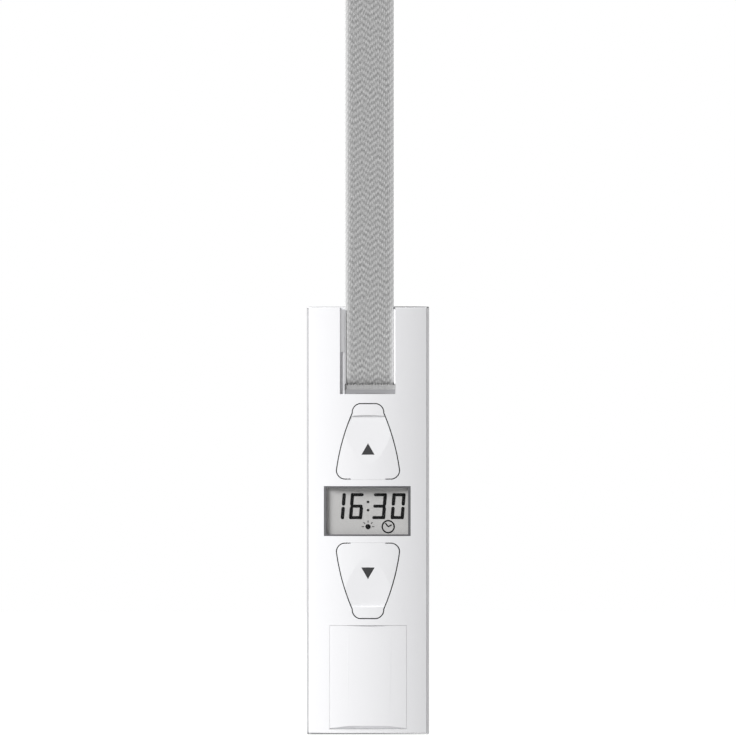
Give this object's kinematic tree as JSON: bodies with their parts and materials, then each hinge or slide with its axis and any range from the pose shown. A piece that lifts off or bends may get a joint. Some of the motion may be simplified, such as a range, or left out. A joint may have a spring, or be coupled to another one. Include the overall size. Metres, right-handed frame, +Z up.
{
  "type": "roller shutter belt winder",
  "caption": "Electric belt winder for roller shutters: slim bowed front with up and down keys, clock display and flap, geared motor and reel in a wall housing, belt to a guide above.",
  "frame": {"origin": "on the wall face, halfway between the two wall screw slots of the mounting plate", "axes": "+X to the right seen from the room, +Y into the wall, +Z up"},
  "size_m": [0.058, 0.135, 0.4105],
  "materials": {
    "cover_plastic": "smooth moulded white",
    "key_plastic": "smooth moulded white",
    "print_grey": "dark grey inlay",
    "bezel_plastic": "dark grey moulded",
    "clear_window": "clear polished",
    "lcd": "grey reflective liquid crystal glass",
    "strip_rubber": "soft rubber",
    "circuit_board": "green solder mask",
    "component_plastic": "black moulded",
    "plate_plastic": "fine grained light grey",
    "housing_plastic": "fine grained light grey",
    "belt_fabric": "woven grey belt",
    "steel": "turned and zinc plated",
    "brass": "cut and polished",
    "gear_plastic": "ivory acetal",
    "roller_plastic": "ivory acetal",
    "grommet_rubber": "soft rubber",
    "magnet": "sintered",
    "armature": "laminated steel with lacquered copper",
    "transformer_tape": "wound core with yellow tape"
  },
  "bodies": {
    "root": {"front_cover": "cover_plastic", "display_bezel": "bezel_plastic", "display_lens": "clear_window", "lcd_glass": "lcd", "lcd_contact_strips": "strip_rubber", "control_board": "circuit_board", "control_chips": "component_plastic", "push_switches": "component_plastic", "board_screws": "steel", "plate_screws": "steel", "lid_screws": "steel", "key_hinge_pins": "steel", "mounting_plate": "plate_plastic", "guide_roller_axle": "steel", "belt_strap": "belt_fabric", "belt_upper_turn": "belt_fabric", "belt_inner_run": "belt_fabric", "box_guide_plate": "cover_plastic", "box_guide_hood": "cover_plastic", "box_guide_axle": "steel", "housing_body": "housing_plastic", "housing_lid": "housing_plastic", "reel_axle": "steel", "idler_axle": "steel", "worm_bearings": "brass", "motor_can": "steel", "motor_end_cap": "component_plastic", "motor_magnets": "magnet", "motor_bracket": "steel", "motor_screws": "steel", "power_board": "circuit_board", "transformer": "transformer_tape", "supply_capacitors": "component_plastic", "terminal_block": "component_plastic", "cable_grommet": "grommet_rubber"},
    "up_key": {"up_key": "key_plastic", "up_arrow": "print_grey"},
    "down_key": {"down_key": "key_plastic", "down_arrow": "print_grey"},
    "up_switch_plunger": {"up_switch_plunger": "component_plastic"},
    "down_switch_plunger": {"down_switch_plunger": "component_plastic"},
    "set_button_1": {"set_button_1": "key_plastic"},
    "set_button_2": {"set_button_2": "key_plastic"},
    "set_button_3": {"set_button_3": "key_plastic"},
    "service_flap": {"service_flap": "cover_plastic", "flap_hinge_pins": "steel"},
    "reel": {"belt_reel": "gear_plastic", "reel_flange": "gear_plastic", "reel_flange_screws": "steel", "reel_bushes": "brass", "belt_coil": "belt_fabric"},
    "idler": {"spur_pinion": "gear_plastic", "worm_wheel": "brass"},
    "motor_rotor": {"worm": "steel", "motor_shaft": "steel", "motor_armature": "armature"},
    "guide_roller": {"guide_roller": "roller_plastic"},
    "box_guide_roller": {"box_guide_roller": "roller_plastic"}
  },
  "joints": [
    {"name": "up_key_press", "type": "hinge", "parent": "root", "child": "up_key", "pos_m": [0, -0.0138, 0.0183], "axis": [-1, 0, 0], "range_deg": [0, 1.1], "stiffness_Nm_per_rad": 1.5},
    {"name": "down_key_press", "type": "hinge", "parent": "root", "child": "down_key", "pos_m": [0, -0.0138, -0.0091], "axis": [1, 0, 0], "range_deg": [0, 1.1], "stiffness_Nm_per_rad": 1.5},
    {"name": "up_switch_travel", "type": "slide", "parent": "root", "child": "up_switch_plunger", "axis": [0, 1, 0], "range_m": [0, 0.0005]},
    {"name": "down_switch_travel", "type": "slide", "parent": "root", "child": "down_switch_plunger", "axis": [0, 1, 0], "range_m": [0, 0.0005]},
    {"name": "set_button_1_press", "type": "slide", "parent": "root", "child": "set_button_1", "axis": [0, 1, 0], "range_m": [0, 0.0003], "stiffness_N_per_m": 1500},
    {"name": "set_button_2_press", "type": "slide", "parent": "root", "child": "set_button_2", "axis": [0, 1, 0], "range_m": [0, 0.0003], "stiffness_N_per_m": 1500},
    {"name": "set_button_3_press", "type": "slide", "parent": "root", "child": "set_button_3", "axis": [0, 1, 0], "range_m": [0, 0.0003], "stiffness_N_per_m": 1500},
    {"name": "flap_hinge", "type": "hinge", "parent": "root", "child": "service_flap", "pos_m": [0, -0.0146, -0.0949], "axis": [1, 0, 0], "range_deg": [0, 90]},
    {"name": "motor_spin", "type": "hinge", "parent": "root", "child": "motor_rotor", "pos_m": [0, 0.032, -0.0548], "axis": [0, 1, 0], "continuous": true},
    {"name": "idler_spin", "type": "hinge", "parent": "root", "child": "idler", "pos_m": [0, 0.032, -0.0347], "axis": [1, 0, 0], "continuous": true},
    {"name": "reel_spin", "type": "hinge", "parent": "root", "child": "reel", "pos_m": [0, 0.06, 0.026], "axis": [1, 0, 0], "continuous": true},
    {"name": "guide_roller_spin", "type": "hinge", "parent": "root", "child": "guide_roller", "pos_m": [0, -0.0074, 0.069], "axis": [1, 0, 0], "continuous": true},
    {"name": "box_guide_roller_spin", "type": "hinge", "parent": "root", "child": "box_guide_roller", "pos_m": [0, -0.0074, 0.28], "axis": [1, 0, 0], "continuous": true}
  ],
  "couplings": [
    {"joint": "up_switch_travel", "follows": "up_key_press", "m_per_rad": 0.0257},
    {"joint": "down_switch_travel", "follows": "down_key_press", "m_per_rad": 0.0257},
    {"joint": "idler_spin", "follows": "motor_spin", "ratio": -0.033333},
    {"joint": "reel_spin", "follows": "motor_spin", "ratio": 0.013021},
    {"joint": "guide_roller_spin", "follows": "motor_spin", "ratio": -0.068473},
    {"joint": "box_guide_roller_spin", "follows": "motor_spin", "ratio": -0.068473}
  ]
}
